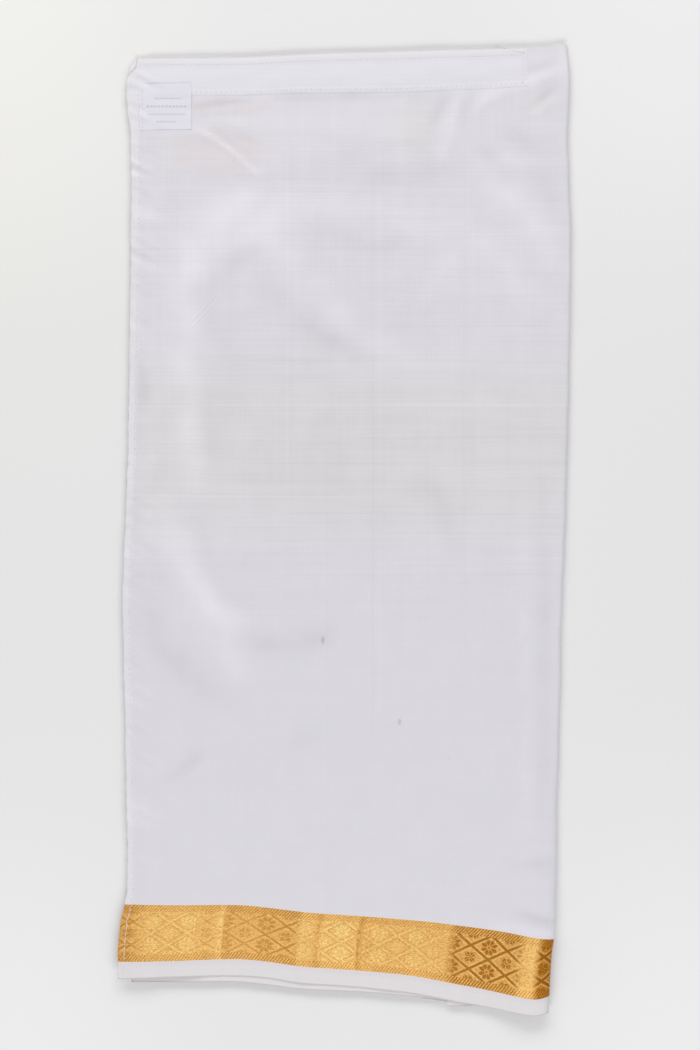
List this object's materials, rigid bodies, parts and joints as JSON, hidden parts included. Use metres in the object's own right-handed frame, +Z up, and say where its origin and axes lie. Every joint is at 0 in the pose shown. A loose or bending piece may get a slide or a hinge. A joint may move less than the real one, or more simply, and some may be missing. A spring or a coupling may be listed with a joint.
{
  "type": "dhoti cloth",
  "caption": "Child's white cotton dhoti cloth with a woven gold zari border, a sewn waistband tape and a side hem, folded flat in layers.",
  "frame": {"origin": "centre of the bounding box, on the flat underside that rests on the table", "axes": "+Y along the cloth from the zari border at the foot to the waist; +X across it from the hemmed free edge to the main fold; +Z up, out of the front of the folded cloth"},
  "size_m": [0.3174, 0.6803, 0.0104],
  "materials": {
    "cotton": "fine plain-weave white cotton with slubs and a soft sheen",
    "zari": "woven gold metallic thread in a diamond lattice, glossy",
    "tape": "smooth white cotton tape, sewn with white thread",
    "label_satin": "white satin ribbon with plain faint dashes, no lettering"
  },
  "bodies": {
    "root": {"front_panel": "cotton", "front_border": "zari", "front_selvedge": "cotton", "side_hem": "cotton", "border_hem": "zari", "selvedge_hem": "cotton", "waistband": "tape", "size_label": "label_satin", "inner_layers": "cotton", "back_panel": "cotton", "back_border": "zari", "back_selvedge": "cotton"}
  },
  "joints": []
}
